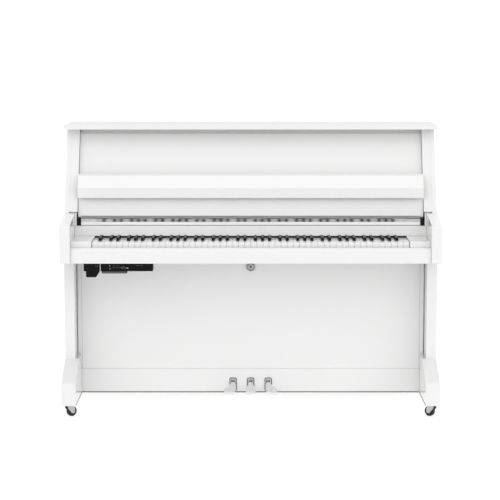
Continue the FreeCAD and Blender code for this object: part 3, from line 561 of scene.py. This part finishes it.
def unit_pieces():
    """Face details of the electronic unit: lamps, plain marks, lip, joint strip, ribs and knob."""
    low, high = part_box("control_unit")
    face = low[1]
    black = MATERIALS["unit_black"]
    lamp_teal = moulded("lamp_teal", (0.02, 0.30, 0.33), (0.2, 0.3))
    lamp_pink = moulded("lamp_pink", (0.55, 0.28, 0.30), (0.2, 0.3))
    lamp_amber = moulded("lamp_amber", (0.80, 0.32, 0.06), (0.2, 0.3))
    lamp_yellow = moulded("lamp_yellow", (0.62, 0.62, 0.06), (0.2, 0.3))
    print_grey = moulded("print_grey", (0.13, 0.13, 0.14), (0.45, 0.6))
    lip_grey = moulded("lip_edge", (0.07, 0.072, 0.076), (0.3, 0.45))
    bright = MATERIALS["polished_steel"]
    lamps = (
        ("lamp_a", lamp_pink, -0.5435, 0.5975, 0.0022),
        ("lamp_b", lamp_teal, -0.5425, 0.5868, 0.0026),
        ("lamp_c", lamp_teal, -0.4985, 0.5915, 0.0024),
        ("lamp_d", lamp_amber, -0.4795, 0.5895, 0.0020),
        ("lamp_e", lamp_yellow, -0.4745, 0.5890, 0.0022),
    )
    for name, material, x, z, radius in lamps:
        form = bmesh.new()
        lathe(form, (x, face, z), (0, -1, 0), [
            (-0.001, radius), (0.0004, radius), (0.0010, radius * 0.8),
            (0.0013, radius * 0.4), (0.0014, 0),
        ], 24)
        add_piece(name, form, material, "case")
        form = bmesh.new()
        lathe(form, (x, face, z), (0, -1, 0), [
            (-0.0005, radius * 1.05), (-0.0005, radius * 1.45), (0.0003, radius * 1.4),
            (0.0003, radius * 1.05), (-0.0005, radius * 1.05),
        ], 24)
        add_piece(name + "_collar", form, black, "case")
    form = bmesh.new()
    for foot, top, spans in MARK_ROWS:
        for left, right in spans:
            brick(form, (left, face - 0.0002, foot), (right, face + 0.0004, top), 0.00008)
    add_piece("face_marks", form, print_grey, "case")
    form = bmesh.new()
    brick(form, (low[0] + 0.0035, face + 0.0012, low[2] + 0.0014),
          (-0.4795, face + 0.0026, low[2] + 0.0078), 0.0005)
    add_piece("lip_edge", form, lip_grey, "case")
    form = bmesh.new()
    brick(form, (-0.5815, face - 0.001, 0.5775), (-0.5790, face + 0.045, 0.6075), 0.0006)
    add_piece("joint_strip", form, bright, "case")
    form = bmesh.new()
    for foot, top in COVER_RIB_ROWS:
        brick(form, (high[0] - 0.085, face - 0.0012, foot),
              (high[0] - 0.006, face + 0.0006, top), 0.0004)
    add_piece("cover_ribs", form, black, "case")
    knob_low, knob_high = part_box("volume_knob")
    kx, kz = (knob_low[0] + knob_high[0]) / 2, (knob_low[2] + knob_high[2]) / 2
    form = bmesh.new()
    lathe(form, (kx, knob_low[1], kz), (0, 1, 0), [
        (0.0, 0), (0.0, 0.0046), (0.0006, 0.0056), (0.0020, 0.0060), (0.0092, 0.0064), (0.0096, 0.0068),
        (0.0102, 0.0070), (0.0104, 0.0030), (0.0170, 0.0030), (0.0170, 0),
    ])
    for step in range(KNOB_RIBS):
        angle = 2 * math.pi * step / KNOB_RIBS
        rib_x, rib_z = kx + KNOB_RIB_PLACE * math.cos(angle), kz + KNOB_RIB_PLACE * math.sin(angle)
        lathe(form, (rib_x, knob_low[1] + 0.0016, rib_z), (0, 1, 0), [
            (0, 0), (0.0004, 0.0004), (0.0072, 0.00045), (0.0074, 0),
        ], 8)
    brick(form, (kx - 0.0003, knob_low[1] - 0.0002, kz + 0.0012),
          (kx + 0.0003, knob_low[1] + 0.0006, kz + 0.0046), 0.0001)
    knob = add_piece("ribbed_knob", form, MATERIALS["control_grey"], "volume_knob")
    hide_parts("volume_knob")


def rounded_path(left, right, low, high, radius, steps=6):
    """Points round an upright rectangle, all its corners rounded."""
    points = []
    for cx, cz, start in (
        (right - radius, high - radius, 0), (left + radius, high - radius, 90),
        (left + radius, low + radius, 180), (right - radius, low + radius, 270),
    ):
        for step in range(steps + 1):
            angle = math.radians(start + 90 * step / steps)
            points.append((cx + radius * math.cos(angle), cz + radius * math.sin(angle)))
    return points


PEDAL_PLACES = (-0.0705, 0.0, 0.0705)
SLOT_HALF = 0.0126
SLOT_CORNER = 0.0046
RIM_RADIUS = 0.0017
RIM_TURNS = 10


def plate_pieces():
    """Raised rims round the pedal slots, with pale felt lining the tops of the slots."""
    low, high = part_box("pedal_plates")
    rim = metal("plate_rim", (0.09, 0.09, 0.095), (0.16, 0.26))
    pale = fibre("slot_felt", (0.55, 0.55, 0.53), (0.68, 0.68, 0.66))
    form = bmesh.new()
    lining = bmesh.new()
    for x in PEDAL_PLACES:
        path = rounded_path(
            x - SLOT_HALF, x + SLOT_HALF, low[2] + 0.0012, high[2] - 0.0008, SLOT_CORNER
        )
        rings = []
        for index, (px, pz) in enumerate(path):
            after = path[(index + 1) % len(path)]
            before = path[index - 1]
            along = Vector((after[0] - before[0], 0, after[1] - before[1])).normalized()
            out = along.cross(Vector((0, 1, 0)))
            ring = []
            for step in range(RIM_TURNS):
                angle = 2 * math.pi * step / RIM_TURNS
                offset = out * math.cos(angle) + Vector((0, 1, 0)) * math.sin(angle)
                ring.append(form.verts.new(Vector((px, low[1], pz)) + offset * RIM_RADIUS))
            rings.append(ring)
        for index, ring in enumerate(rings):
            following = rings[(index + 1) % len(rings)]
            for step in range(RIM_TURNS):
                after = (step + 1) % RIM_TURNS
                form.faces.new((ring[step], ring[after], following[after], following[step]))
        brick(lining, (x - 0.0082, high[1] + 0.0005, 0.1024),
              (x + 0.0082, high[1] + 0.010, 0.1068), 0.0008)
    add_piece("pedal_plate_rims", form, rim, "case")
    add_piece("slot_lining", lining, pale, "case")


# Depth span of the painted shadow strip under the long hinge.
HINGE_SHADOW_FRONT, HINGE_SHADOW_BACK = -0.0820, -0.0782
# Span and foot of the grey strips in the side joints, painted shade for the shadow in those joints.
SIDE_SHADE_INNER, SIDE_SHADE_OUTER = 0.6926, 0.6943
SIDE_SHADE_FOOT = 0.2090
# Height of the painted shadow line along the foot of the case.
SHADOW_LINE_HEIGHT = 0.0045
JOINT_BEVEL = 0.0003


def hinge_shadow_strip():
    """Strip of the dark felt material under the foot of the long hinge: a painted shadow for the shadow
    gap between the hinge leaf and the nameboard.
    """
    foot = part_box("long_hinge_leaf")[0][2]
    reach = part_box("long_hinge_leaf")[1][0] - 0.001
    form = bmesh.new()
    brick(form, (-reach, HINGE_SHADOW_FRONT, foot - 0.0014), (reach, HINGE_SHADOW_BACK, foot - 0.0002), JOINT_BEVEL)
    add_piece("hinge_shadow_strip", form, MATERIALS["felt"], "case")


def panel_joints():
    """Slim beads closing the joints beside and under the lower panel, and grey strips in the joints at
    the sides as painted shade for the shadow there.
    """
    low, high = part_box("lower_front_panel")
    beads = bmesh.new()
    shade_strips = bmesh.new()
    for side in (-1, 1):
        left, right = either_side(side, high[0] + 0.0008, high[0] + 0.0030)
        brick(beads, (left, low[1] + 0.0002, low[2]), (right, low[1] + 0.012, high[2]), JOINT_BEVEL)
        # Painted shade: grey strip in the joint between side board and panel.
        left, right = either_side(side, SIDE_SHADE_INNER, SIDE_SHADE_OUTER)
        brick(shade_strips, (left, low[1] - 0.0008, SIDE_SHADE_FOOT),
              (right, low[1] + 0.001, high[2]), JOINT_BEVEL)
    rail_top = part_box("bottom_rail")[1][2]
    brick(beads, (-high[0], low[1] + 0.0002, rail_top - 0.0004),
          (high[0], low[1] + 0.008, rail_top + 0.0008), JOINT_BEVEL)
    add_piece("panel_edge_beads", beads, MATERIALS["case_white"], "case")
    add_piece("side_shade_strips", shade_strips, PAINTED_SHADE_GREY, "case")


def base_shadow_line():
    """Grey strips along the foot of the bottom rail and of the inner faces of the toe blocks, as
    painted shadow for the line of shade along those bottom edges.
    """
    low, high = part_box("bottom_rail")
    top = low[2] + SHADOW_LINE_HEIGHT
    form = bmesh.new()
    brick(form, (low[0] + 0.001, low[1] - 0.0006, low[2]),
          (high[0] - 0.001, low[1] + 0.001, top), JOINT_BEVEL)
    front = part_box("side_trim")[0][1] + 0.001
    for side in (-1, 1):
        left, right = either_side(side, high[0] - 0.0001, high[0] + 0.0012)
        brick(form, (left, front, low[2]), (right, low[1] - 0.0012, top), JOINT_BEVEL)
    add_piece("base_shadow_line", form, PAINTED_SHADE_GREY, "case")


LID_HINGE_PLACES = (-0.5, 0, 0.5)


def hinge_screws():
    """Small screws on the lid hinge flaps and on the pedal slot plates."""
    low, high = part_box("lid_hinge_flaps")
    y = (low[1] + high[1]) / 2 - 0.004
    places = [
        (x + shift, y, high[2] - 0.0018)
        for x in LID_HINGE_PLACES for shift in (-0.024, 0.0, 0.024)
    ]
    screw_heads("lid_hinge_screws", places, (0, 0, -1), 0.0028, "lid", MATERIALS["polished_steel"])
    low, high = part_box("pedal_plates")
    places = [
        (x + shift, low[1] - 0.0001, z)
        for x in PEDAL_PLACES for shift in (-0.0094, 0.0094)
        for z in (high[2] - 0.0215, low[2] + 0.010)
    ]
    screw_heads("pedal_plate_screws", places, (0, -1, 0), 0.0014, "case", MATERIALS["steel"])


lock_pieces()
plate_pieces()
unit_pieces()
hinge_shadow_strip()
panel_joints()
base_shadow_line()
hinge_screws()

# ---------------------------------------------------------------- stage

FLOOR_HALF = 9.0
FLOOR_FRONT = -12.0
FLOOR_GLOW = 0.69
BACKDROP_START = 3.0
BACKDROP_RADIUS = 2.5
BACKDROP_TOP = 7.0
SWEEP_STEPS = 24


def sweep_profile():
    """Floor running back into a tall backdrop through a round cove."""
    points = [(FLOOR_FRONT, 0.0), (BACKDROP_START, 0.0)]
    for step in range(1, SWEEP_STEPS + 1):
        angle = math.radians(90) * step / SWEEP_STEPS
        points.append((
            BACKDROP_START + BACKDROP_RADIUS * math.sin(angle),
            BACKDROP_RADIUS * (1 - math.cos(angle)),
        ))
    points.append((BACKDROP_START + BACKDROP_RADIUS, BACKDROP_TOP))
    return points


def make_floor():
    """White sweep that glows a little, so that next to no ground shadow shows."""
    mesh = bpy.data.meshes.new("floor")
    form = bmesh.new()
    rows = [
        [form.verts.new((x, y, z)) for x in (-FLOOR_HALF, FLOOR_HALF)]
        for y, z in sweep_profile()
    ]
    for near, far in zip(rows, rows[1:]):
        face = form.faces.new((near[0], near[1], far[1], far[0]))
        face.smooth = True
    form.to_mesh(mesh)
    form.free()
    floor = bpy.data.objects.new("floor", mesh)
    bpy.context.scene.collection.objects.link(floor)
    n = Nodes("pale_floor")
    n.colours(n.noise(3.0), (0.35, 0.35, 0.35), (0.36, 0.36, 0.36))
    n.roughness(n.noise(20.0), 0.6, 0.7)
    n.set(Specular_IOR_Level=0.1, Emission_Color=(1, 1, 1, 1), Emission_Strength=FLOOR_GLOW)
    mesh.materials.append(n.material)


def area_light(name, place, aim, size, power):
    """Soft rectangular lamp that the camera doesn't see."""
    data = bpy.data.lights.new(name, "AREA")
    data.shape = "RECTANGLE"
    data.size, data.size_y = size
    data.energy = power
    light = bpy.data.objects.new(name, data)
    light.location = place
    light.rotation_euler = (Vector(aim) - Vector(place)).to_track_quat("-Z", "Y").to_euler()
    light.visible_camera = False
    bpy.context.scene.collection.objects.link(light)


WORLD_STRENGTH = 0.86
WASH_STRENGTH = 0.55
WASH_SPREAD = 50
WASH_SIDEWAYS = 0.9
WASH_DOWN = -0.60


def make_light():
    """White surroundings, an even wide light from the front, and a little from overhead."""
    world = bpy.data.worlds.new("studio")
    world.use_nodes = True
    background = world.node_tree.nodes["Background"]
    background.inputs["Color"].default_value = (1.0, 1.0, 1.0, 1)
    background.inputs["Strength"].default_value = WORLD_STRENGTH
    bpy.context.scene.world = world
    for side in (-1, 1):
        data = bpy.data.lights.new("front_wash", "SUN")
        data.energy = WASH_STRENGTH
        data.angle = math.radians(WASH_SPREAD)
        wash = bpy.data.objects.new("front_wash", data)
        heading = Vector((side * WASH_SIDEWAYS, 1.0, WASH_DOWN))
        wash.rotation_euler = heading.to_track_quat("-Z", "Y").to_euler()
        bpy.context.scene.collection.objects.link(wash)
    area_light("top_light", (0, -0.8, 4.2), (0, 0, 0.6), (5.0, 3.0), 22)
    area_light("low_back_light", (0, 1.7, 0.24), (0, -0.4, 0.0), (2.6, 0.4), 14)
    bpy.context.scene.view_settings.view_transform = "Standard"


make_floor()
make_light()
